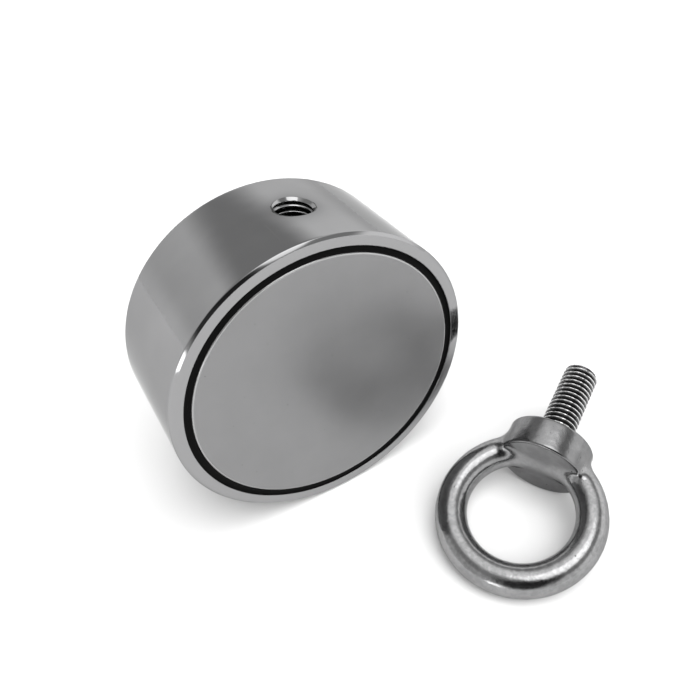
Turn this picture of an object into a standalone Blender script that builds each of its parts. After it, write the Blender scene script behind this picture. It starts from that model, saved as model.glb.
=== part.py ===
"""Double-sided fishing magnet, with its eye bolt lying loose in front of it.

The origin is the centre of the front pole face. The magnet's axis runs along +Y and +Z is up.
The magnet lies on its curved side, with its tapped hole on top and leaning a little towards +X.
The eye bolt lies on the same surface, its threaded shank pointing away to the right.
"""

import math

import bmesh
import bpy
from mathutils import Matrix, Vector

MM = 0.001

# Steel shell: a pot on each side of a solid web
SHELL_DIAMETER = 80.0 * MM
SHELL_LENGTH = 34.5 * MM
LIP_WIDTH = 3.2 * MM
RIM_CHAMFER = 0.5 * MM
WEB_WALL = 3.0 * MM  # steel left on each side of the tapped hole

# What fills each pot
POTTING_WIDTH = 1.8 * MM  # slot between disc and shell
POTTING_RECESS = 0.5 * MM  # below the pole face
DISC_CHAMFER = 0.4 * MM
ADHESIVE_THICKNESS = 0.6 * MM
TOUCH_GAP = 0.3 * MM  # left between pieces that touch

# Thread, a 60 degree metric one
THREAD_DIAMETER = 10.0 * MM
THREAD_PITCH = 1.5 * MM
THREAD_DEPTH = 0.92 * MM
THREAD_CLEARANCE = 0.1 * MM  # radial, tapped hole over shank
FLANK_ANGLE = math.radians(30.0)

# Tapped hole in the shell's side
HOLE_LEAN = math.radians(5.5)  # from straight up towards +X, as the magnet lies
HOLE_SPARE_DEPTH = 3.0 * MM  # thread past the end of the shank
DRILL_SPARE_DEPTH = 2.0 * MM  # plain drilling past the thread
DRILL_POINT_ANGLE = math.radians(59.0)
DRILL_CLEARANCE = 0.05 * MM  # radial, inside the root of the thread
COUNTERSINK = 0.5 * MM  # widening at the mouth

# Eye bolt
EYE_OUTER_DIAMETER = 45.0 * MM
EYE_INNER_DIAMETER = 28.0 * MM
COLLAR_DIAMETER = 24.0 * MM
COLLAR_STEP = 0.3 * MM  # how far the collar stands into the eye
COLLAR_COVER = 0.2 * MM  # collar past the top of the ring
COLLAR_CHAMFER = 0.5 * MM
SHANK_LENGTH = 25.0 * MM
SHANK_TIP_CHAMFER = 1.2 * MM
BLANK_ALLOWANCE = 0.2 * MM  # radial, the blank that trims the shank over its crests

# Where the loose eye bolt lies, and where it is held ready to screw in
EYE_CENTRE_X = 29.9 * MM
EYE_CENTRE_Y = -40.9 * MM
SHANK_HEADING = math.radians(62.3)  # from +Y towards +X, seen from above
HELD_HEIGHT = 80.0 * MM  # shank tip above the mouth of the hole

SHELL_SEGMENTS = 72
COLLAR_SEGMENTS = 48
RING_SEGMENTS = 48
RING_SECTION_SEGMENTS = 16
THREAD_SEGMENTS = 20

# Derived sizes
SHELL_RADIUS = SHELL_DIAMETER / 2
POT_RADIUS = SHELL_RADIUS - LIP_WIDTH
DISC_RADIUS = POT_RADIUS - POTTING_WIDTH
WEB_THICKNESS = THREAD_DIAMETER + 2 * WEB_WALL
POT_DEPTH = (SHELL_LENGTH - WEB_THICKNESS) / 2
ADHESIVE_BOTTOM = POT_DEPTH - TOUCH_GAP
ADHESIVE_TOP = ADHESIVE_BOTTOM - ADHESIVE_THICKNESS
DISC_THICKNESS = ADHESIVE_TOP - TOUCH_GAP
GROUND = -SHELL_RADIUS * math.cos(math.pi / SHELL_SEGMENTS)  # a flat of the shell rests there

THREAD_RADIUS = THREAD_DIAMETER / 2
THREAD_CREST = THREAD_PITCH / 8
TAPPED_RADIUS = THREAD_RADIUS + THREAD_CLEARANCE
TAPPED_DEPTH = SHANK_LENGTH + HOLE_SPARE_DEPTH
DRILL_RADIUS = TAPPED_RADIUS - THREAD_DEPTH - DRILL_CLEARANCE
DRILL_DEPTH = TAPPED_DEPTH + DRILL_SPARE_DEPTH
PAST_SURFACE = 1.0 * MM  # how far a cutter or a join runs past what it meets
MERGE_DISTANCE = 0.01 * MM

EYE_RADIUS = (EYE_OUTER_DIAMETER + EYE_INNER_DIAMETER) / 4
SECTION_RADIUS = (EYE_OUTER_DIAMETER - EYE_INNER_DIAMETER) / 4
COLLAR_RADIUS = COLLAR_DIAMETER / 2
COLLAR_FACE = EYE_INNER_DIAMETER / 2 - COLLAR_STEP  # from the eye's centre
BEARING_FACE = EYE_OUTER_DIAMETER / 2 + COLLAR_COVER
SHANK_TIP = BEARING_FACE + SHANK_LENGTH


# Scene helpers


def clear_scene():
    for item in list(bpy.data.objects):
        bpy.data.objects.remove(item, do_unlink=True)


def new_collection(name):
    collection = bpy.data.collections.new(name)
    bpy.context.scene.collection.children.link(collection)
    return collection


def new_object(name, mesh, collection, place=None):
    item = bpy.data.objects.new(name, mesh)
    item.matrix_world = place or Matrix.Identity(4)
    collection.objects.link(item)
    return item


def mesh_from(name, points, faces):
    mesh = bpy.data.meshes.new(name)
    mesh.from_pydata([tuple(point) for point in points], [], faces)
    return mesh


def hide_cutter(item):
    item.hide_render = True
    item.display_type = "WIRE"


def paint(item, colour, metallic, roughness):
    material = bpy.data.materials.new(item.name + "_finish")
    material.use_nodes = True
    shader = material.node_tree.nodes["Principled BSDF"]
    shader.inputs["Base Color"].default_value = (*colour, 1.0)
    shader.inputs["Metallic"].default_value = metallic
    shader.inputs["Roughness"].default_value = roughness
    item.data.materials.append(material)


# Shapes


def turned(name, profile, segments, collection, place):
    """A profile of (radius, height) points, from the top down its outer side, turned about Z."""
    points = [(radius, 0.0, height) for radius, height in profile]
    edges = [(i, i + 1) for i in range(len(points) - 1)]
    mesh = bpy.data.meshes.new(name)
    mesh.from_pydata(points, edges, [])
    item = new_object(name, mesh, collection, place)
    screw = item.modifiers.new("turn", "SCREW")
    screw.steps = segments
    screw.render_steps = segments
    screw.use_merge_vertices = True
    screw.merge_threshold = MERGE_DISTANCE
    screw.use_smooth_shade = True
    return item


def boolean(item, other, operation):
    modifier = item.modifiers.new(other.name, "BOOLEAN")
    modifier.operation = operation
    modifier.solver = "EXACT"
    modifier.object = other


def thread_profile(crest_radius):
    """One pitch of the thread as (radius, height) points: root, flank, crest, flank."""
    root_radius = crest_radius - THREAD_DEPTH
    flank = THREAD_DEPTH * math.tan(FLANK_ANGLE)
    root = THREAD_PITCH - THREAD_CREST - 2 * flank
    return [
        (root_radius, 0.0),
        (root_radius, root),
        (crest_radius, root + flank),
        (crest_radius, root + flank + THREAD_CREST),
    ]


def thread_mesh(name, crest_radius, bottom, top):
    """A right-hand thread about Z, closed by a fan at each end.

    Row r is one point of the profile, carried once round the axis while it rises one pitch, so
    its end is the start of the same point's row one pitch further up.
    """
    profile = thread_profile(crest_radius)
    per_pitch = len(profile)
    pitches = math.ceil((top - bottom) / THREAD_PITCH) + 1
    rows = per_pitch * pitches
    points = []
    for row in range(rows + 1):
        radius, height = profile[row % per_pitch]
        for segment in range(THREAD_SEGMENTS):
            part = segment / THREAD_SEGMENTS
            angle = math.tau * part
            rise = (row // per_pitch + part - 1) * THREAD_PITCH
            points.append((radius * math.cos(angle), radius * math.sin(angle), bottom + height + rise))

    def index(row, segment):
        turn, segment = divmod(segment, THREAD_SEGMENTS)
        return (row + turn * per_pitch) * THREAD_SEGMENTS + segment

    last = rows - per_pitch
    faces = []
    for row in range(last):
        for segment in range(THREAD_SEGMENTS):
            faces.append(
                (
                    index(row, segment),
                    index(row, segment + 1),
                    index(row + 1, segment + 1),
                    index(row + 1, segment),
                )
            )
    turn_points = [index(0, segment) for segment in range(THREAD_SEGMENTS + 1)]
    step_points = [index(row, 0) for row in range(per_pitch - 1, 0, -1)]
    lower = turn_points + step_points
    upper = [point + last * THREAD_SEGMENTS for point in lower]
    used = (last + per_pitch) * THREAD_SEGMENTS + 1
    points = points[:used]
    points.append((0.0, 0.0, bottom - THREAD_PITCH))
    points.append((0.0, 0.0, bottom + last / per_pitch * THREAD_PITCH + THREAD_PITCH))
    for i in range(len(lower)):
        following = (i + 1) % len(lower)
        faces.append((lower[following], lower[i], used))
        faces.append((upper[i], upper[following], used + 1))
    return mesh_from(name, points, faces)


# Magnet


def pot_place(front):
    """Turns +Z to the pole face's outward direction, with the shell's flats facing up and down."""
    half_flat = Matrix.Rotation(math.pi / SHELL_SEGMENTS, 4, "Z")
    if front:
        return Matrix.Rotation(math.pi / 2, 4, "X") @ half_flat
    lift = Matrix.Translation((0.0, SHELL_LENGTH, 0.0))
    return lift @ Matrix.Rotation(-math.pi / 2, 4, "X") @ half_flat


def along_hole(distance):
    """A place on the tapped hole's axis, this far out from the shell's axis, with Z outwards."""
    middle = Matrix.Translation((0.0, SHELL_LENGTH / 2, 0.0))
    lean = Matrix.Rotation(HOLE_LEAN, 4, "Y")
    return middle @ lean @ Matrix.Translation((0.0, 0.0, distance))


def make_housing(parts, cutters):
    profile = [
        (0.0, -POT_DEPTH),
        (POT_RADIUS, -POT_DEPTH),
        (POT_RADIUS, 0.0),
        (SHELL_RADIUS - RIM_CHAMFER, 0.0),
        (SHELL_RADIUS, -RIM_CHAMFER),
        (SHELL_RADIUS, RIM_CHAMFER - SHELL_LENGTH),
        (SHELL_RADIUS - RIM_CHAMFER, -SHELL_LENGTH),
        (POT_RADIUS, -SHELL_LENGTH),
        (POT_RADIUS, POT_DEPTH - SHELL_LENGTH),
        (0.0, POT_DEPTH - SHELL_LENGTH),
    ]
    housing = turned("housing", profile, SHELL_SEGMENTS, parts, pot_place(front=True))
    mouth = along_hole(SHELL_RADIUS)

    tap = new_object(
        "tap_cutter",
        thread_mesh("tap_cutter", TAPPED_RADIUS, -TAPPED_DEPTH, 2 * PAST_SURFACE),
        cutters,
        mouth,
    )
    point_length = DRILL_RADIUS / math.tan(DRILL_POINT_ANGLE)
    drill_profile = [
        (0.0, PAST_SURFACE),
        (DRILL_RADIUS, PAST_SURFACE),
        (DRILL_RADIUS, -DRILL_DEPTH),
        (0.0, -DRILL_DEPTH - point_length),
    ]
    drill = turned("drill_cutter", drill_profile, THREAD_SEGMENTS, cutters, mouth)
    mouth_radius = TAPPED_RADIUS + COUNTERSINK
    sink_depth = COUNTERSINK + THREAD_DEPTH
    sink_profile = [
        (0.0, PAST_SURFACE),
        (mouth_radius + PAST_SURFACE, PAST_SURFACE),
        (mouth_radius - sink_depth, -sink_depth),
        (0.0, -sink_depth),
    ]
    sink = turned("countersink_cutter", sink_profile, COLLAR_SEGMENTS, cutters, mouth)
    for cutter in (tap, drill, sink):
        hide_cutter(cutter)
        boolean(housing, cutter, "DIFFERENCE")
    paint(housing, (0.60, 0.60, 0.61), 1.0, 0.18)


def make_pot_filling(side, parts):
    """The disc, the potting round it and the adhesive under it, for one side of the shell."""
    place = pot_place(front=side == "front")
    disc_profile = [
        (0.0, 0.0),
        (DISC_RADIUS - DISC_CHAMFER, 0.0),
        (DISC_RADIUS, -DISC_CHAMFER),
        (DISC_RADIUS, -DISC_THICKNESS),
        (0.0, -DISC_THICKNESS),
    ]
    disc = turned(side + "_magnet", disc_profile, SHELL_SEGMENTS, parts, place)
    paint(disc, (0.55, 0.55, 0.56), 1.0, 0.32)

    inner = DISC_RADIUS + TOUCH_GAP
    outer = POT_RADIUS - TOUCH_GAP
    ring_profile = [
        (inner, -POTTING_RECESS),
        (outer, -POTTING_RECESS),
        (outer, -ADHESIVE_BOTTOM),
        (inner, -ADHESIVE_BOTTOM),
        (inner, -POTTING_RECESS),
    ]
    ring = turned(side + "_potting_ring", ring_profile, SHELL_SEGMENTS, parts, place)
    paint(ring, (0.012, 0.012, 0.013), 0.0, 0.35)

    bed_profile = [
        (0.0, -ADHESIVE_TOP),
        (DISC_RADIUS, -ADHESIVE_TOP),
        (DISC_RADIUS, -ADHESIVE_BOTTOM),
        (0.0, -ADHESIVE_BOTTOM),
    ]
    bed = turned(side + "_adhesive", bed_profile, SHELL_SEGMENTS, parts, place)
    paint(bed, (0.35, 0.31, 0.22), 0.0, 0.5)


# Eye bolt: its own Z runs from the eye's centre along the shank, its own X lies across the eye


def rest_tilt():
    """How far the shank points up when the far side of the eye and the collar's rim touch down."""
    along = EYE_RADIUS + COLLAR_FACE + COLLAR_CHAMFER
    return math.acos(SECTION_RADIUS / math.hypot(along, COLLAR_RADIUS)) - math.atan2(along, COLLAR_RADIUS)


def rest_place():
    tilt = rest_tilt()
    across = Vector((math.cos(SHANK_HEADING), -math.sin(SHANK_HEADING), 0.0))
    level = Vector((math.sin(SHANK_HEADING), math.cos(SHANK_HEADING), 0.0))
    shank = level * math.cos(tilt) + Vector((0.0, 0.0, math.sin(tilt)))
    height = GROUND + SECTION_RADIUS + EYE_RADIUS * math.sin(tilt)
    turn = Matrix((across, shank.cross(across), shank)).transposed().to_4x4()
    return Matrix.Translation((EYE_CENTRE_X, EYE_CENTRE_Y, height)) @ turn


def carry_pivot():
    """A point on the line about which one turn carries the lying bolt to its held place.

    The line is square to the bolt's travel, and it leans alike to the shank's two directions.
    """
    place = rest_place()
    start = place.translation
    held = along_hole(SHELL_RADIUS + HELD_HEIGHT + SHANK_TIP)
    travel = held.translation - start
    shank = place.col[2].to_3d()
    held_shank = -held.col[2].to_3d()
    axis = (shank - held_shank).cross(travel).normalized()
    flat_shank = shank - axis * shank.dot(axis)
    flat_held = held_shank - axis * held_shank.dot(axis)
    turn = math.atan2(flat_shank.cross(flat_held).dot(axis), flat_shank.dot(flat_held))
    return start + travel / 2 + axis.cross(travel) / (2 * math.tan(turn / 2))


def make_eye_bolt(parts, cutters):
    place = rest_place()
    pivot = Matrix.Translation(carry_pivot())
    carrier = bpy.data.objects.new("eye_bolt_carry", None)
    carrier.matrix_world = pivot
    parts.objects.link(carrier)

    collar_profile = [
        (0.0, BEARING_FACE),
        (COLLAR_RADIUS - COLLAR_CHAMFER, BEARING_FACE),
        (COLLAR_RADIUS, BEARING_FACE - COLLAR_CHAMFER),
        (COLLAR_RADIUS, COLLAR_FACE + COLLAR_CHAMFER),
        (COLLAR_RADIUS - COLLAR_CHAMFER, COLLAR_FACE),
        (0.0, COLLAR_FACE),
    ]
    bolt = turned("eye_bolt", collar_profile, COLLAR_SEGMENTS, parts, place)

    bpy.ops.mesh.primitive_torus_add(
        major_radius=EYE_RADIUS,
        minor_radius=SECTION_RADIUS,
        major_segments=RING_SEGMENTS,
        minor_segments=RING_SECTION_SEGMENTS,
    )
    ring = bpy.context.object
    ring.name = "eye_ring"
    ring.data.transform(Matrix.Rotation(math.pi / 2, 4, "X"))
    ring.matrix_world = place
    for collection in list(ring.users_collection):
        collection.objects.unlink(ring)
    cutters.objects.link(ring)

    shank_start = BEARING_FACE - PAST_SURFACE
    shank = new_object(
        "threaded_shank",
        thread_mesh("threaded_shank", THREAD_RADIUS, shank_start, SHANK_TIP + THREAD_PITCH),
        cutters,
        place,
    )
    outside = THREAD_RADIUS + BLANK_ALLOWANCE
    tip_radius = outside - SHANK_TIP_CHAMFER
    blank_profile = [
        (0.0, SHANK_TIP),
        (tip_radius, SHANK_TIP),
        (outside, SHANK_TIP - SHANK_TIP_CHAMFER),
        (outside, shank_start),
        (0.0, shank_start),
    ]
    blank = turned("shank_blank", blank_profile, COLLAR_SEGMENTS, cutters, place)
    boolean(shank, blank, "INTERSECT")
    boolean(bolt, ring, "UNION")
    boolean(bolt, shank, "UNION")
    for piece in (ring, shank, blank):
        hide_cutter(piece)
    for piece in (bolt, ring, shank, blank):
        piece.parent = carrier
        piece.matrix_parent_inverse = pivot.inverted()
    paint(bolt, (0.56, 0.56, 0.57), 1.0, 0.22)


def main():
    clear_scene()
    parts = new_collection("fishing_magnet")
    cutters = new_collection("cutters")
    make_housing(parts, cutters)
    make_pot_filling("front", parts)
    make_pot_filling("rear", parts)
    make_eye_bolt(parts, cutters)


main()
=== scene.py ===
"""The looks of a double-sided fishing magnet and the loose eye bolt in front of it.

Lengths named here are in millimetres and become metres where a mesh is made. The magnet's axis
runs along Y, its front pole face looks along -Y, and +Z is up. The CAD boxes give the shell's
size, the ground and the discs' thickness.
"""

import math

import bmesh
import bpy
import numpy as np
from mathutils import Matrix, Vector


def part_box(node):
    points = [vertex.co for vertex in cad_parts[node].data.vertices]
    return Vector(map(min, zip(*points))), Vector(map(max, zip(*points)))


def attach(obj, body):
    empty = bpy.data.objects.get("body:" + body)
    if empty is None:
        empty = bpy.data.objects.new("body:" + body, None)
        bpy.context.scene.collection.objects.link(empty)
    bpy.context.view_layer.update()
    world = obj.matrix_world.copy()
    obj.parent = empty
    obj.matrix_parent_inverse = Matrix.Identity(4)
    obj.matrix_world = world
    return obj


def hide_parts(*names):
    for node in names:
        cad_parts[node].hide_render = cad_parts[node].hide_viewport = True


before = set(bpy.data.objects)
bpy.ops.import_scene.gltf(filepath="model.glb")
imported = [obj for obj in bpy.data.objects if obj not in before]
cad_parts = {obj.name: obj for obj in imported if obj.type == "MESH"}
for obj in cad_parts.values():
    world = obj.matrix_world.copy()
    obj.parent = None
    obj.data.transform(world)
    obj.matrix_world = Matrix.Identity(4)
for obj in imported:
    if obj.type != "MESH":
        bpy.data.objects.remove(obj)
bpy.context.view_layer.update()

MM = 0.001
MERGE_DISTANCE = 0.002
COLLAPSED_LENGTH = 0.0005  # an edge no longer than this has collapsed

housing_low, housing_high = (np.array(corner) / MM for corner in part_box("housing"))
disc_low, disc_high = (np.array(corner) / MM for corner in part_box("front_magnet"))

# Magnet
SHELL_RADIUS = (housing_high[2] - housing_low[2]) / 2
SHELL_LENGTH = housing_high[1] - housing_low[1]
GROUND = housing_low[2]
POT_RADIUS = 36.8
POT_DEPTH = 9.25
RIM_CHAMFER = 0.7
RIM_ROUNDING = 0.12  # of both corners of the rim's chamfer
POT_ROUNDING = 0.16  # of the lip's inner edge
DISC_RADIUS = 35.0
DISC_THICKNESS = disc_high[1] - disc_low[1]
DISC_EDGE = 0.45
DISC_BACK_EDGE = 0.2
POTTING_RECESS = 0.5
POTTING_SAG = 0.02  # past the recess, between the walls
POTTING_CLIMB = 0.22  # from there up, at both walls
SHELL_COLUMNS = 384
SHELL_STEP = 2.5  # longest along the shell's outline
SIDE_ROWS = 12  # of the shell, on each side of the square round the tapped hole
PATCH_COLUMNS = 26  # of the shell's columns, across that square
PATCH_RINGS = 15

# Tapped hole and thread
HOLE_LEAN = math.radians(5.5)
THREAD_PITCH = 1.5
THREAD_DEPTH = 0.92
FLANK_ANGLE = math.radians(30.0)
ROOT_ROUNDING = 0.12
TAPPED_RADIUS = 5.1
TAPPED_DEPTH = 28.0
DRILL_DEPTH = 30.0
DRILL_POINT_ANGLE = math.radians(59.0)
MOUTH_RADIUS = 5.3
THREAD_ROWS = 16  # for each turn of thread

# Eye bolt
RING_RADIUS = 18.25
RING_SECTION = 4.2
RING_LIFT = 0.05  # of the ring off the ground
COLLAR_RADIUS = 12.0
COLLAR_FACE = 13.7
BEARING_FACE = 22.7
COLLAR_EDGE = 0.8
FILLET = 2.2  # reach of the smooth join between ring and collar
COLLAR_CHAMFER = 0.5
SEAM_FADE = 4.0  # short of the collar
SEAM_HEIGHT = 0.07
SEAM_WIDTH = 0.4
SHANK_RADIUS = 4.98
SHANK_LENGTH = 25.0
SHANK_TIP_CHAMFER = 1.1
EYE_CENTRE_X = 29.9
EYE_CENTRE_Y = -40.9
SHANK_HEADING = math.radians(62.3)


# Meshes


def grid_faces(rows, columns, offset=0, around=False):
    """Quads between neighbouring points of a grid, whose columns may close on themselves."""
    row = np.arange(rows - 1)[:, None]
    column = np.arange(columns if around else columns - 1)[None, :]
    following = (column + 1) % columns
    first = row * columns + column
    second = row * columns + following
    quads = np.stack([first, second, second + columns, first + columns], axis=-1)
    return quads.reshape(-1, 4) + offset


def mesh_object(name, patches, sharp=30.0):
    """One object from patches, each of them (grid of points in mm, around, kept faces or None)."""
    points, faces, offset = [], [], 0
    for grid, around, kept in patches:
        rows, columns = grid.shape[:2]
        quads = grid_faces(rows, columns, offset, around)
        faces.append(quads if kept is None else quads[kept.reshape(-1)])
        points.append(grid.reshape(-1, 3))
        offset += rows * columns
    points = np.concatenate(points) * MM
    faces = np.concatenate(faces)
    mesh = bpy.data.meshes.new(name)
    mesh.from_pydata(points.tolist(), [], faces.tolist())
    tidy(mesh)
    mesh.shade_smooth()
    mesh.set_sharp_from_angle(angle=math.radians(sharp))
    item = bpy.data.objects.new(name, mesh)
    bpy.context.scene.collection.objects.link(item)
    return item


def tidy(mesh):
    """Merges points that meet, drops what collapsed or stands loose, and turns faces outwards."""
    work = bmesh.new()
    work.from_mesh(mesh)
    bmesh.ops.remove_doubles(work, verts=work.verts, dist=MERGE_DISTANCE * MM)
    bmesh.ops.dissolve_degenerate(work, edges=work.edges, dist=COLLAPSED_LENGTH * MM)
    loose = [vert for vert in work.verts if not vert.link_faces]
    bmesh.ops.delete(work, geom=loose, context="VERTS")
    bmesh.ops.recalc_face_normals(work, faces=work.faces)
    work.to_mesh(mesh)
    work.free()


def rounded(corners, steps=6):
    """An outline of (radius, height, rounding) corners, each rounding a curve of that reach.

    A rounded corner is the quadratic curve that leaves one side and meets the other at the
    rounding's distance from the corner.
    """
    line = []
    for i, (radius, height, rounding) in enumerate(corners):
        corner = np.array([radius, height])
        if rounding == 0:
            line.append(corner[None])
            continue
        before = np.array(corners[i - 1][:2]) - corner
        after = np.array(corners[i + 1][:2]) - corner
        start = corner + before / np.linalg.norm(before) * rounding
        end = corner + after / np.linalg.norm(after) * rounding
        t = np.linspace(0, 1, steps + 1)[:, None]
        line.append((1 - t) ** 2 * start + 2 * t * (1 - t) * corner + t**2 * end)
    return np.concatenate(line)


def divided(line, longest):
    """The same outline, with points added so that no step is longer than this."""
    parts = []
    for start, end in zip(line[:-1], line[1:]):
        count = max(1, math.ceil(np.linalg.norm(end - start) / longest))
        parts.append(start + (end - start) * (np.arange(count) / count)[:, None])
    parts.append(line[-1:])
    return np.concatenate(parts)


def turned_about_y(line, angles):
    """Each (radius, y) point of the outline carried round the Y axis, from +Z towards +X."""
    radius, along = line[:, 0][:, None], line[:, 1][:, None]
    return np.stack(
        [radius * np.sin(angles), along + 0 * angles, radius * np.cos(angles)], axis=-1
    )


def thread_radius(height, angle, crest):
    """Radius of a right-hand metric thread at each height and angle.

    The distance from the middle of the nearest crest, a saw-tooth of height less the turn's
    share of a pitch, falls from crest to root along 60 degree flanks, rounded at the root.
    """
    turns = height / THREAD_PITCH - angle / math.tau
    away = np.abs(turns - np.round(turns)) * THREAD_PITCH
    drop = np.clip((away - THREAD_PITCH / 16) / math.tan(FLANK_ANGLE), 0.0, None)
    straight = THREAD_DEPTH - ROOT_ROUNDING
    over = np.clip(drop - straight, 0.0, None)
    curved = straight + ROOT_ROUNDING * (1 - np.exp(-over / ROOT_ROUNDING))
    return crest - np.where(over > 0, curved, drop)


# Magnet


def shell_outline():
    """The shell's outline from the middle of the front web to the middle of the rear web."""
    front = [
        (0.0, POT_DEPTH, 0),
        (POT_RADIUS, POT_DEPTH, 0),
        (POT_RADIUS, 0.0, POT_ROUNDING),
        (SHELL_RADIUS - RIM_CHAMFER, 0.0, RIM_ROUNDING),
        (SHELL_RADIUS, RIM_CHAMFER, RIM_ROUNDING),
    ]
    rear = [(radius, SHELL_LENGTH - depth, rounding) for radius, depth, rounding in front[::-1]]
    return rounded(front + rear)


def square_loop(half, count):
    """Points round a square, evenly along its sides, as (across, along) and their direction."""
    side = np.linspace(-half, half, count // 4 + 1)[:-1]
    edge = np.full_like(side, half)
    across = np.concatenate([side, edge, -side, -edge])
    along = np.concatenate([-edge, side, edge, -side])
    return across, along, np.arctan2(along, across)


def on_shell(across, along):
    """A place given along the shell's surface, round from the hole's axis and along Y."""
    angle = HOLE_LEAN + across / SHELL_RADIUS
    middle = SHELL_LENGTH / 2
    return np.stack(
        [SHELL_RADIUS * np.sin(angle), middle + along, SHELL_RADIUS * np.cos(angle)], axis=-1
    )


def in_hole(radius, angle, height):
    """A place round the tapped hole's axis, at a height from the shell's surface, outwards."""
    across = radius * np.cos(angle)
    along = SHELL_LENGTH / 2 + radius * np.sin(angle)
    outwards = SHELL_RADIUS + height
    lean_cos, lean_sin = math.cos(HOLE_LEAN), math.sin(HOLE_LEAN)
    return np.stack(
        [across * lean_cos + outwards * lean_sin, along, outwards * lean_cos - across * lean_sin],
        axis=-1,
    )


def make_shell():
    """Turned shell, with a square of its side replaced by rings that close on the tapped hole."""
    step = math.tau / SHELL_COLUMNS
    cell = step * SHELL_RADIUS
    half = PATCH_COLUMNS / 2 * cell
    angles = HOLE_LEAN + (np.arange(SHELL_COLUMNS) - PATCH_COLUMNS / 2) * step
    outline = shell_outline()
    middle = SHELL_LENGTH / 2
    on_side = np.isclose(outline[:, 0], SHELL_RADIUS)
    first, last = np.flatnonzero(on_side)[[0, -1]]
    patch_rows = middle + np.linspace(-half, half, PATCH_COLUMNS + 1)
    before = np.linspace(outline[first, 1], patch_rows[0], SIDE_ROWS + 1)[:-1]
    after = np.linspace(patch_rows[-1], outline[last, 1], SIDE_ROWS + 1)[1:]
    side = np.concatenate([before, patch_rows, after])
    front = divided(outline[: first + 1], SHELL_STEP)[:-1]
    rear = divided(outline[last:], SHELL_STEP)[1:]
    side = np.stack([np.full_like(side, SHELL_RADIUS), side], axis=1)
    line = np.concatenate([front, side, rear])
    start = len(front) + len(before)
    body = turned_about_y(line, angles[None, :])
    kept = np.ones((len(line) - 1, SHELL_COLUMNS), dtype=bool)
    kept[start : start + PATCH_COLUMNS, :PATCH_COLUMNS] = False

    across, along, direction = square_loop(half, 4 * PATCH_COLUMNS)
    rim = np.full_like(direction, MOUTH_RADIUS)
    for _ in range(6):
        fall = np.sqrt(SHELL_RADIUS**2 - (rim * np.cos(direction)) ** 2) - SHELL_RADIUS
        rim = MOUTH_RADIUS + fall
    rim_across = SHELL_RADIUS * np.arcsin(rim * np.cos(direction) / SHELL_RADIUS)
    rim_along = rim * np.sin(direction)
    share = (1 - np.linspace(1, 0, PATCH_RINGS) ** 1.6)[:, None]
    patch = on_shell(
        across + (rim_across - across) * share,
        along + (rim_along - along) * share,
    )
    return mesh_object(
        "housing_shell",
        [(body, True, kept), (patch, True, None), (hole_wall(direction, rim), True, None)],
    )


def hole_wall(direction, rim):
    """The tapped hole: the wider of thread and countersink, then the drilling and its point."""
    floor_radius = TAPPED_RADIUS - THREAD_DEPTH
    turns = TAPPED_DEPTH / THREAD_PITCH
    top = rim - MOUTH_RADIUS
    share = np.linspace(0, 1, int(turns * THREAD_ROWS) + 1)[:, None]
    height = top * (1 - share) - TAPPED_DEPTH * share
    thread = thread_radius(height, direction[None, :], TAPPED_RADIUS)
    cone = MOUTH_RADIUS + height
    radius = np.maximum(np.maximum(thread, cone), floor_radius)
    fade = np.clip((height + TAPPED_DEPTH) / THREAD_PITCH, 0, 1)
    radius = floor_radius + (radius - floor_radius) * fade
    radius[0] = rim
    point_length = floor_radius / math.tan(DRILL_POINT_ANGLE)
    depth = np.array([-DRILL_DEPTH, -DRILL_DEPTH - point_length])[:, None]
    width = np.array([floor_radius, 0.0])[:, None]
    height = np.concatenate([height, depth + 0 * direction])
    radius = np.concatenate([radius, width + 0 * direction])
    return in_hole(radius, direction[None, :], height)


def turned_piece(name, corners, front, longest=2.0, columns=256):
    """A turned piece for one side of the magnet: heights run inwards from the pole face."""
    line = divided(rounded(corners), longest)
    if not front:
        line = np.stack([line[:, 0], SHELL_LENGTH - line[:, 1]], axis=1)
    angles = np.linspace(0, math.tau, columns, endpoint=False)[None, :]
    return mesh_object(name, [(turned_about_y(line, angles), True, None)])


def make_disc(side):
    corners = [
        (0.0, 0.0, 0),
        (DISC_RADIUS - DISC_EDGE - 0.05, 0.0, 0),
        (DISC_RADIUS, 0.0, DISC_EDGE),
        (DISC_RADIUS, DISC_THICKNESS, DISC_BACK_EDGE),
        (0.0, DISC_THICKNESS, 0),
    ]
    return turned_piece(side + "_disc", corners, side == "front")


def make_potting(side):
    """A ring of potting whose surface climbs a little at both walls, as it set."""
    inner, outer = DISC_RADIUS + 0.01, POT_RADIUS - 0.01
    across = np.linspace(0, 1, 11)
    sag = POTTING_RECESS + POTTING_SAG - POTTING_CLIMB * np.abs(2 * across - 1) ** 4
    top = [(inner + (outer - inner) * share, depth, 0) for share, depth in zip(across, sag)]
    corners = [*top, (outer, POT_DEPTH - 0.3, 0), (inner, POT_DEPTH - 0.3, 0), (inner, sag[0], 0)]
    return turned_piece(side + "_potting", corners, side == "front")


# Eye bolt: worked out lying along its own Z from the eye's centre, then put where it rests


def bolt_place():
    """Where the bolt lies: the far side of the eye and the collar's rim on the ground."""
    along = RING_RADIUS + COLLAR_FACE + COLLAR_CHAMFER
    section = RING_SECTION + RING_LIFT
    tilt = math.acos(section / math.hypot(along, COLLAR_RADIUS)) - math.atan2(along, COLLAR_RADIUS)
    across = Vector((math.cos(SHANK_HEADING), -math.sin(SHANK_HEADING), 0.0))
    level = Vector((math.sin(SHANK_HEADING), math.cos(SHANK_HEADING), 0.0))
    shank = level * math.cos(tilt) + Vector((0.0, 0.0, math.sin(tilt)))
    height = GROUND + section + RING_RADIUS * math.sin(tilt)
    turn = Matrix((across, shank.cross(across), shank)).transposed().to_4x4()
    return Matrix.Translation(Vector((EYE_CENTRE_X, EYE_CENTRE_Y, height)) * MM) @ turn


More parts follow.
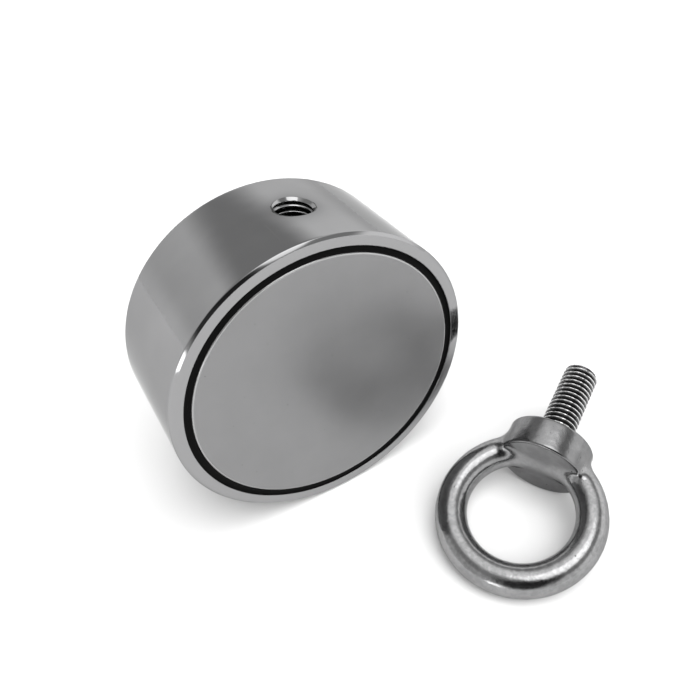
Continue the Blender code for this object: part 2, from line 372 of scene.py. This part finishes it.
def ring_distance(points):
    """Distance outside the ring: from a circle in the XZ plane, less the section's radius."""
    flat = np.hypot(points[:, 0], points[:, 2]) - RING_RADIUS
    return np.hypot(flat, points[:, 1]) - RING_SECTION


def collar_distance(points):
    """Distance outside a flat-ended cylinder along Z, with its edges rounded."""
    half = (BEARING_FACE - COLLAR_FACE) / 2
    middle = (BEARING_FACE + COLLAR_FACE) / 2
    out = np.hypot(points[:, 0], points[:, 1]) - (COLLAR_RADIUS - COLLAR_EDGE)
    over = np.abs(points[:, 2] - middle) - (half - COLLAR_EDGE)
    corner = np.hypot(np.clip(out, 0, None), np.clip(over, 0, None))
    return corner + np.minimum(np.maximum(out, over), 0) - COLLAR_EDGE


def body_distance(points):
    """The ring and the collar grown together, with a small fillet where they meet."""
    ring, collar = ring_distance(points), collar_distance(points)
    near = np.clip(FILLET - np.abs(ring - collar), 0, None) / FILLET
    return np.minimum(ring, collar) - near**2 * FILLET / 4


def settle(points, distance, rounds=6):
    """Moves points onto a surface by Newton's method, down the slope of its distance."""
    nudge = 0.01
    for _ in range(rounds):
        here = distance(points)
        slope = np.stack(
            [
                distance(points + nudge * axis) - distance(points - nudge * axis)
                for axis in np.eye(3)
            ],
            axis=1,
        ) / (2 * nudge)
        steep = np.maximum((slope**2).sum(axis=1), 0.2)
        points = points - slope * (here / steep)[:, None]
    return points


def make_ring():
    """A torus: a circle of the section's radius carried round the eye's centre."""
    round_eye = np.linspace(0, math.tau, 240, endpoint=False)[None, :]
    section = np.linspace(0, math.tau, 97)[:, None]
    reach = RING_RADIUS + RING_SECTION * np.cos(section)
    side = RING_SECTION * np.sin(section) + 0 * round_eye
    points = np.stack([reach * np.cos(round_eye), side, reach * np.sin(round_eye)], axis=-1)
    return mesh_object("ring", [(points, True, None)], sharp=180.0)


def about_z(radius, height, angles):
    """Each radius and height carried round the Z axis."""
    return np.stack(
        [radius * np.cos(angles), radius * np.sin(angles), height + 0 * angles], axis=-1
    )


def turned_about_z(line, columns):
    angles = np.linspace(0, math.tau, columns, endpoint=False)[None, :]
    return about_z(line[:, 0][:, None], line[:, 1][:, None], angles)


def make_collar():
    corners = [
        (0.0, BEARING_FACE, 0),
        (COLLAR_RADIUS, BEARING_FACE, COLLAR_EDGE),
        (COLLAR_RADIUS, COLLAR_FACE, COLLAR_EDGE),
        (0.0, COLLAR_FACE, 0),
    ]
    line = divided(rounded(corners, 8), 0.45)
    return mesh_object("collar", [(turned_about_z(line, 192), True, None)], sharp=180.0)


def make_shank():
    """The threaded shank: the narrower of thread and tip, from inside the collar to a flat tip."""
    columns = 96
    angles = np.linspace(0, math.tau, columns, endpoint=False)[None, :]
    start, tip = BEARING_FACE - 1.0, BEARING_FACE + SHANK_LENGTH
    height = np.linspace(start, tip, int((tip - start) / THREAD_PITCH * THREAD_ROWS) + 1)[:, None]
    thread = thread_radius(height, angles, SHANK_RADIUS)
    left = np.clip((tip - height) / SHANK_TIP_CHAMFER, 0, 1)
    ease = SHANK_RADIUS - SHANK_TIP_CHAMFER * (1 - np.sqrt(1 - (1 - left) ** 2 * 0.999))
    wall = about_z(np.minimum(thread, ease), height, angles)
    foot = np.broadcast_to([0.0, 0.0, start], (1, columns, 3))
    end = np.broadcast_to([0.0, 0.0, tip], (1, columns, 3))
    return mesh_object("shank", [(np.concatenate([foot, wall, end]), True, None)], sharp=35.0)


def joined(item, other):
    """Unites two closed pieces in one mesh and removes the second."""
    modifier = item.modifiers.new("join", "BOOLEAN")
    modifier.operation = "UNION"
    modifier.solver = "EXACT"
    modifier.object = other
    bpy.context.view_layer.update()
    united = item.evaluated_get(bpy.context.evaluated_depsgraph_get())
    whole = bpy.data.meshes.new_from_object(united)
    item.modifiers.clear()
    item.data = whole
    bpy.data.objects.remove(other)
    return item


def points_of(item):
    points = np.empty(len(item.data.vertices) * 3)
    item.data.vertices.foreach_get("co", points)
    return points.reshape(-1, 3) / MM


def put_points(item, points):
    item.data.vertices.foreach_set("co", (points * MM).reshape(-1))
    item.data.update()


def with_seam(place):
    """The forging's parting line: a low ridge round the ring's outer side, gone at the collar."""
    flat = np.hypot(place[:, 0], place[:, 2])
    outer = np.clip((flat - RING_RADIUS) / RING_SECTION, 0, 1)
    clear = np.clip((COLLAR_FACE - SEAM_FADE - place[:, 2]) / SEAM_FADE, 0, 1)
    ridge = SEAM_HEIGHT * np.exp(-((place[:, 1] / SEAM_WIDTH) ** 2)) * outer * clear
    outwards = np.stack([place[:, 0] / flat, 0 * flat, place[:, 2] / flat], axis=1)
    return place + outwards * ridge[:, None]


def make_eye_bolt():
    bolt = joined(make_ring(), make_collar())
    put_points(bolt, settle(points_of(bolt), body_distance))
    put_points(bolt, with_seam(points_of(bolt)))
    bolt = joined(bolt, make_shank())
    bolt.name = "eye_bolt_forging"
    tidy(bolt.data)
    bolt.data.transform(bolt_place())
    bolt.data.shade_smooth()
    bolt.data.set_sharp_from_angle(angle=math.radians(38.0))
    return bolt


# Finishes


class Value:
    """A socket whose arithmetic adds Math nodes to its tree."""

    def __init__(self, tree, socket):
        self.tree = tree
        self.socket = socket

    def math(self, operation, *values):
        return self.tree.add("ShaderNodeMath", {"operation": operation}, dict(enumerate(values)))

    def __add__(self, other):
        return self.math("ADD", self, other)

    def __radd__(self, other):
        return self.math("ADD", other, self)

    def __sub__(self, other):
        return self.math("SUBTRACT", self, other)

    def __rsub__(self, other):
        return self.math("SUBTRACT", other, self)

    def __mul__(self, other):
        return self.math("MULTIPLY", self, other)

    def __rmul__(self, other):
        return self.math("MULTIPLY", other, self)


class Tree:
    """A node tree with one method that adds any node and returns one of its outputs."""

    def __init__(self, tree):
        self.tree = tree

    def add(self, kind, settings=None, inputs=None, output=0):
        node = self.tree.nodes.new(kind)
        for name, value in (settings or {}).items():
            setattr(node, name, value)
        for key, value in (inputs or {}).items():
            self.put(node.inputs[key], value)
        return None if output is None else Value(self, node.outputs[output])

    def put(self, socket, value):
        if isinstance(value, Value):
            self.tree.links.new(value.socket, socket)
        else:
            socket.default_value = value

    def position(self):
        return self.add("ShaderNodeTexCoord", output="Object")

    def noise(self, size, detail=3.0, roughness=0.55, stretch=(1.0, 1.0, 1.0)):
        """Noise whose features are about this many millimetres across, from 0 to 1."""
        scale = tuple(1.0 / (size * MM * axis) for axis in stretch)
        place = self.add("ShaderNodeMapping", inputs={"Vector": self.position(), "Scale": scale})
        values = {"Vector": place, "Scale": 1.0, "Detail": detail, "Roughness": roughness}
        return self.add("ShaderNodeTexNoise", inputs=values)

    def ramp(self, value, low, high, to_low=0.0, to_high=1.0):
        """The value eased from to_low, at low and under, to to_high, at high and over."""
        inputs = {0: value, 1: low, 2: high, 3: to_low, 4: to_high}
        return self.add("ShaderNodeMapRange", {"interpolation_type": "SMOOTHSTEP"}, inputs)

    def mix(self, share, first, second):
        """Two colours mixed."""
        inputs = {0: share, 6: (*first, 1.0) if isinstance(first, tuple) else first}
        inputs[7] = (*second, 1.0) if isinstance(second, tuple) else second
        return self.add("ShaderNodeMix", {"data_type": "RGBA"}, inputs, output=2)

    def attribute(self, name):
        return self.add("ShaderNodeAttribute", {"attribute_name": name}, output="Fac")

    def bump(self, height, distance, strength=1.0):
        """The surface raised by the height, whose 1 is this many millimetres."""
        inputs = {"Height": height, "Distance": distance * MM, "Strength": strength}
        return self.add("ShaderNodeBump", inputs=inputs)


def finish(item, name, **sockets):
    """A material of this name, its Principled shader's sockets set from the words given."""
    material = bpy.data.materials.new(name)
    material.use_nodes = True
    tree = Tree(material.node_tree)
    shader = material.node_tree.nodes["Principled BSDF"]
    for key, value in sockets.items():
        socket = shader.inputs[key.replace("_", " ")]
        tree.put(socket, value(tree) if callable(value) else value)
    item.data.materials.clear()
    item.data.materials.append(material)


def set_attribute(item, name, values):
    attribute = item.data.attributes.new(name, "FLOAT", "POINT")
    attribute.data.foreach_set("value", values.astype(np.float32))


EDGE_TINT = (0.60, 0.60, 0.60, 1.0)
SHELL_DARK = (0.20, 0.20, 0.203)
SHELL_LIGHT = (0.326, 0.326, 0.329)
DISC_DARK = (0.206, 0.206, 0.208)
DISC_LIGHT = (0.247, 0.247, 0.249)
# painted highlight on the disc's rounded edge
DISC_RIM_HIGHLIGHT = (0.34, 0.34, 0.34)
LIP_LIGHT = (0.325, 0.325, 0.328)
# painted shade in the tapped hole and its thread; also the colour of the eye bolt's nicks
NICKS_AND_GROOVE_SHADE = (0.02, 0.02, 0.02)
SPECK_DARK = (0.05, 0.05, 0.05)
BOLT_DARK = (0.255, 0.255, 0.257)
BOLT_LIGHT = (0.325, 0.325, 0.327)
BOLT_DULL = (0.185, 0.185, 0.187)
# painted highlight on the shank's thread crests
BOLT_CREST_HIGHLIGHT = (0.85, 0.85, 0.85)
# painted shade in the thread's roots and where the pieces meet
BOLT_SHADE = (0.015, 0.015, 0.015)
GLUE_DARK = (0.30, 0.26, 0.17)
GLUE_LIGHT = (0.40, 0.36, 0.25)
RESIN_BLACK = (0.002, 0.002, 0.002, 1.0)
HALO_SHADE_REACH = 2.2  # of the painted shade round the tapped hole
CREASE_SHADE_REACH = 0.45  # of the painted shade where ring and collar meet


def shell_colour(tree):
    """Plating, a little uneven, with painted shade round the hole and in its thread."""
    cloud = tree.noise(14.0, 2.0)
    halo_shade = tree.attribute("halo_shade")
    groove_shade = tree.attribute("groove_shade")
    # painted shade: the plating darkens towards the hole's mouth
    light = tree.ramp(cloud, 0.3, 0.7, 0.85, 1.0) * (1 - 0.75 * halo_shade)
    plating = tree.mix(light, SHELL_DARK, SHELL_LIGHT)
    plating = tree.mix(tree.attribute("lip"), plating, LIP_LIGHT)
    # painted shade in the thread's grooves and further down the hole
    return tree.mix(groove_shade, plating, NICKS_AND_GROOVE_SHADE)


def shell_roughness(tree):
    cloud = tree.noise(9.0, 4.0)
    hairline = tree.noise(0.5, 2.0, stretch=(1.0, 60.0, 1.0))
    scratch = tree.ramp(hairline, 0.70, 0.78)
    return 0.05 + 0.05 * cloud + 0.10 * scratch + 0.25 * tree.attribute("groove_shade")


def shell_normal(tree):
    """Long, shallow waves left by polishing before plating."""
    return tree.bump(tree.noise(11.0, 2.0) + 0.02 * tree.noise(0.8, 3.0), 0.035)


def disc_colour(tree):
    """Satin plating, a little uneven, with a few dark specks and a painted highlight on its
    rounded edge.
    """
    cloud = tree.noise(16.0, 3.0)
    speck = tree.ramp(tree.noise(0.6, 1.0), 0.775, 0.80)
    # painted highlight: the rounded edge paler than the face
    plating = tree.mix(tree.attribute("rim"), tree.mix(cloud, DISC_DARK, DISC_LIGHT), DISC_RIM_HIGHLIGHT)
    return tree.mix(speck, plating, SPECK_DARK)


def disc_roughness(tree):
    face = 0.28 + 0.05 * tree.noise(7.0, 4.0) + 0.03 * tree.noise(0.4, 2.0)
    return face - 0.2 * tree.attribute("rim")


def disc_normal(tree):
    return tree.bump(tree.noise(0.35, 3.0), 0.0022)


def potting_roughness(tree):
    return 0.22 + 0.16 * tree.noise(2.5, 3.0)


def potting_normal(tree):
    return tree.bump(tree.noise(3.0, 2.0), 0.05)


def bolt_colour(tree):
    """Polished forging: mottled, duller on the collar, with nicks, painted highlights on the
    thread's crests and painted shade in its roots and corners.
    """
    mottle = 0.6 * tree.noise(1.3, 4.0, 0.65) + 0.4 * tree.noise(6.0, 2.0)
    steel = tree.mix(tree.ramp(mottle, 0.38, 0.62), BOLT_DARK, BOLT_LIGHT)
    dull = tree.attribute("dull") * tree.ramp(tree.noise(6.0, 2.0), 0.35, 0.65, 0.5, 1.0)
    steel = tree.mix(dull, steel, BOLT_DULL)
    nick = tree.ramp(tree.noise(1.1, 1.0), 0.775, 0.80)
    steel = tree.mix(nick, steel, NICKS_AND_GROOVE_SHADE)
    # painted highlight on the thread's crests
    steel = tree.mix(tree.attribute("crest"), steel, BOLT_CREST_HIGHLIGHT)
    # painted shade in the thread's roots and where ring, collar and shank meet
    return tree.mix(tree.attribute("groove_shade"), steel, BOLT_SHADE)


def bolt_roughness(tree):
    fine = tree.ramp(tree.noise(0.8, 4.0, 0.7), 0.35, 0.7)
    return 0.13 + 0.09 * fine + 0.22 * tree.attribute("groove_shade")


def bolt_normal(tree):
    """Pits and ripples of a forging that polishing rounded over."""
    ripple = 0.80 * tree.noise(3.0, 2.0) + 0.20 * tree.noise(0.55, 4.0, 0.65)
    return tree.bump(ripple, 0.085)


def finish_shell(shell):
    """Marks the lip, painted shade in the thread's grooves and deeper down the hole, and a halo of
    painted shade round the hole.
    """
    place = points_of(shell) - np.array([0.0, SHELL_LENGTH / 2, 0.0])
    out = place[:, 0] * math.sin(HOLE_LEAN) + place[:, 2] * math.cos(HOLE_LEAN)
    across = place[:, 0] * math.cos(HOLE_LEAN) - place[:, 2] * math.sin(HOLE_LEAN)
    radius = np.hypot(across, place[:, 1])
    in_tapping = (radius < MOUTH_RADIUS - 0.005) & (out > 0)
    depth = np.clip((radius - TAPPED_RADIUS + THREAD_DEPTH) / THREAD_DEPTH, 0, 1)
    countersunk = np.abs(radius - (MOUTH_RADIUS - SHELL_RADIUS + out)) < 0.03
    depth = np.where(countersunk, 0.05, depth)
    # painted shade: darker in the thread's grooves and further down the hole
    below = np.clip((SHELL_RADIUS - out - 6.0) / 10.0, 0, 1)
    groove_shade = np.where(in_tapping, np.maximum(0.9 * depth**1.4, below), 0)
    # painted shade round the hole's mouth, fading with distance
    halo_shade = np.where(out > 0, np.exp(-np.clip(radius - MOUTH_RADIUS, 0, None) / HALO_SHADE_REACH), 0)
    to_face = np.abs(np.abs(place[:, 1]) - SHELL_LENGTH / 2)
    set_attribute(shell, "lip", np.where(to_face < 0.05, 1.0, 0.0))
    set_attribute(shell, "groove_shade", groove_shade)
    set_attribute(shell, "halo_shade", np.where(in_tapping, 0, halo_shade))
    finish(
        shell,
        "plated_steel",
        Metallic=1.0,
        Specular_Tint=EDGE_TINT,
        Base_Color=shell_colour,
        Roughness=shell_roughness,
        Normal=shell_normal,
    )


def finish_bolt(bolt):
    """Marks painted shade in the thread's grooves and the corners, painted highlight on the
    crests, and the collar where it is clear.
    """
    home = np.array(bolt_place().inverted())
    place = points_of(bolt) * MM
    place = (place @ home[:3, :3].T + home[:3, 3]) / MM
    radius = np.hypot(place[:, 0], place[:, 1])
    on_shank = (place[:, 2] > BEARING_FACE + 0.05) & (radius < SHANK_RADIUS + 0.05)
    past = np.clip((BEARING_FACE + SHANK_LENGTH - SHANK_TIP_CHAMFER - place[:, 2]) / 0.5, 0, 1)
    thread = np.clip((SHANK_RADIUS - radius) / THREAD_DEPTH, 0, 1) * past
    # painted shade in the thread's roots, where ring and collar meet and round the shank's foot
    apart = np.abs(ring_distance(place)) + np.abs(collar_distance(place))
    crease_shade = 0.85 * np.exp(-((apart / CREASE_SHADE_REACH) ** 2))
    foot = 0.8 * np.exp(-np.abs(place[:, 2] - BEARING_FACE) / 0.5) * (radius < SHANK_RADIUS + 0.6)
    groove_shade = np.where(on_shank, np.maximum(thread**0.6, foot), np.maximum(crease_shade, foot))
    clear = np.clip(ring_distance(place) / 1.2, 0, 1)
    dull = np.clip(1 - np.abs(collar_distance(place)) / 0.5, 0, 1) * clear
    set_attribute(bolt, "dull", np.where(on_shank, 0, dull))
    set_attribute(bolt, "groove_shade", groove_shade)
    # painted highlight on the thread's crests
    set_attribute(bolt, "crest", on_shank * np.clip(1 - 5 * thread, 0, 1) * past)
    finish(
        bolt,
        "polished_forging",
        Metallic=1.0,
        Specular_Tint=EDGE_TINT,
        Base_Color=bolt_colour,
        Roughness=bolt_roughness,
        Normal=bolt_normal,
    )


def finish_disc(disc):
    place = points_of(disc)
    out = np.hypot(place[:, 0], place[:, 2])
    # painted highlight on the rounded edge, which is also polished smoother
    set_attribute(disc, "rim", np.clip((out - DISC_RADIUS + DISC_EDGE) / 0.06, 0, 1))
    finish(
        disc,
        "nickel_plating",
        Metallic=0.8,
        Specular_Tint=EDGE_TINT,
        Base_Color=disc_colour,
        Roughness=disc_roughness,
        Normal=disc_normal,
    )


def finish_potting(ring):
    finish(
        ring,
        "black_resin",
        Base_Color=RESIN_BLACK,
        Specular_IOR_Level=0.03,
        Roughness=potting_roughness,
        Normal=potting_normal,
    )


def adhesive_colour(tree):
    return tree.mix(tree.noise(3.0, 3.0), GLUE_DARK, GLUE_LIGHT)


# Stage


FLOOR_REACH = 3000.0
FLOOR_GAP = 0.02  # under the magnet and the bolt
PAPER = (0.50, 0.50, 0.50, 1.0)
BACKDROP_RADIUS = 6000.0
WHITE = (1.0, 1.0, 1.0, 1.0)
CAMERA_PLACE = (-50.17, -118.15, 113.89)
CAMERA_HEADING, CAMERA_DOWN, CAMERA_ROLL = 34.19, 39.26, -0.75  # degrees
CAMERA_LENS = 34.80
CAMERA_SHIFT = (-0.1156, -0.0070)

# Lamps as heading, elevation, half width and soft edge in degrees; headings run from +Y to +X
SOFT_BOX = (172.0, 73.0, 17.0, 5.0)
CEILING_GLOW = (60.0, 84.0, 4.0, 34.0)
SIDE_LAMP = (-114.0, 3.0, 6.0, 3.0)
ROOM = (-142.0, 32.0, 18.0, 14.0)
CEILING_LEVEL = 0.45
WALL_LEVEL = 1.14
FILL_STRENGTH = 5.8


def make_floor():
    reach = np.array([-FLOOR_REACH, FLOOR_REACH])
    x, y = np.meshgrid(reach, reach)
    grid = np.stack([x, y, np.full_like(x, GROUND - FLOOR_GAP)], axis=-1)
    floor = mesh_object("floor", [(grid, False, None)])
    if floor.data.polygons[0].normal.z < 0:
        floor.data.flip_normals()
    finish(floor, "paper", Base_Color=PAPER, Roughness=1.0, Specular_IOR_Level=0.0)


def make_camera():
    data = bpy.data.cameras.new("camera")
    data.lens = CAMERA_LENS
    data.sensor_width = 36.0
    data.shift_x, data.shift_y = CAMERA_SHIFT
    camera = bpy.data.objects.new("camera", data)
    bpy.context.scene.collection.objects.link(camera)
    place = Matrix.Translation(Vector(CAMERA_PLACE) * MM)
    heading = Matrix.Rotation(math.radians(-CAMERA_HEADING), 4, "Z")
    down = Matrix.Rotation(math.radians(90.0 - CAMERA_DOWN), 4, "X")
    roll = Matrix.Rotation(math.radians(CAMERA_ROLL), 4, "Z")
    camera.matrix_world = place @ heading @ down @ roll
    bpy.context.scene.camera = camera


def make_backdrop():
    """A white dome round everything. Only the camera sees it: it lights and shades nothing."""
    around = np.linspace(0, math.tau, 96, endpoint=False)[None, :]
    climb = np.linspace(-0.1, math.pi / 2, 33)[:, None]
    points = about_z(BACKDROP_RADIUS * np.cos(climb), BACKDROP_RADIUS * np.sin(climb), around)
    dome = mesh_object("backdrop", [(points, True, None)])
    material = bpy.data.materials.new("backdrop")
    material.use_nodes = True
    material.node_tree.nodes.clear()
    tree = Tree(material.node_tree)
    glow = tree.add("ShaderNodeEmission", inputs={"Color": WHITE, "Strength": 1.1})
    tree.add("ShaderNodeOutputMaterial", inputs={"Surface": glow}, output=None)
    dome.data.materials.append(material)
    dome.visible_diffuse = False
    dome.visible_glossy = False
    dome.visible_transmission = False
    dome.visible_shadow = False


def make_studio():
    """The light round the object, by direction.

    There is a soft box and a glow overhead, a pale wall that joins the paper at the horizon, a
    darker ceiling above it, and a dim room on the near side with one lamp in it.
    """
    world = bpy.data.worlds.new("studio")
    bpy.context.scene.world = world
    world.use_nodes = True
    tree = Tree(world.node_tree)
    direction = tree.add("ShaderNodeTexCoord", output="Generated")

    def towards(heading, elevation):
        """How far the direction points this way: the cosine of the angle between them."""
        heading, elevation = math.radians(heading), math.radians(elevation)
        flat = math.cos(elevation)
        way = (flat * math.sin(heading), flat * math.cos(heading), math.sin(elevation))
        inputs = {0: direction, 1: way}
        product = {"operation": "DOT_PRODUCT"}
        return tree.add("ShaderNodeVectorMath", product, inputs, output="Value")

    def lamp(heading, elevation, spread, soft):
        outer, inner = (math.cos(math.radians(angle)) for angle in (spread + soft, spread))
        return tree.ramp(towards(heading, elevation), outer, inner)

    up, right = towards(0.0, 90.0), towards(90.0, 0.0)
    aside = tree.add("ShaderNodeMath", {"operation": "ABSOLUTE"}, {0: right + 0.03})
    wall = tree.ramp(up - 0.22 * aside, 0.33, 0.50, 1.0, 0.0)
    pale = WALL_LEVEL + 0.46 * right * tree.ramp(up, 0.0, 0.18)
    light = CEILING_LEVEL + wall * (pale - CEILING_LEVEL)
    light = light * (1 - 0.92 * lamp(*ROOM))
    light = light + 1.8 * lamp(*SOFT_BOX) + 1.3 * lamp(*CEILING_GLOW) + 3.2 * lamp(*SIDE_LAMP)
    background = world.node_tree.nodes["Background"]
    tree.put(background.inputs["Color"], WHITE)
    tree.put(background.inputs["Strength"], light)

    data = bpy.data.lights.new("fill", "SUN")
    data.energy = FILL_STRENGTH
    data.angle = math.radians(70.0)
    fill = bpy.data.objects.new("fill", data)
    bpy.context.scene.collection.objects.link(fill)
    fill.rotation_euler = (math.radians(36.0), 0.0, math.radians(-6.0))
    fill.visible_glossy = False


def main():
    make_camera()
    make_floor()
    make_backdrop()
    make_studio()
    shell = make_shell()
    finish_shell(shell)
    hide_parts("housing")
    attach(shell, "magnet")
    for side in ("front", "rear"):
        disc = make_disc(side)
        finish_disc(disc)
        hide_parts(side + "_magnet")
        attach(disc, "magnet")
        potting = make_potting(side)
        finish_potting(potting)
        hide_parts(side + "_potting_ring")
        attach(potting, "magnet")
    bolt = make_eye_bolt()
    finish_bolt(bolt)
    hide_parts("eye_bolt")
    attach(bolt, "eye_bolt")
    for side in ("front", "rear"):
        finish(
            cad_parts[side + "_adhesive"],
            side + "_glue",
            Base_Color=adhesive_colour,
            Roughness=0.6,
        )
    bpy.context.scene.view_settings.view_transform = "Standard"


main()
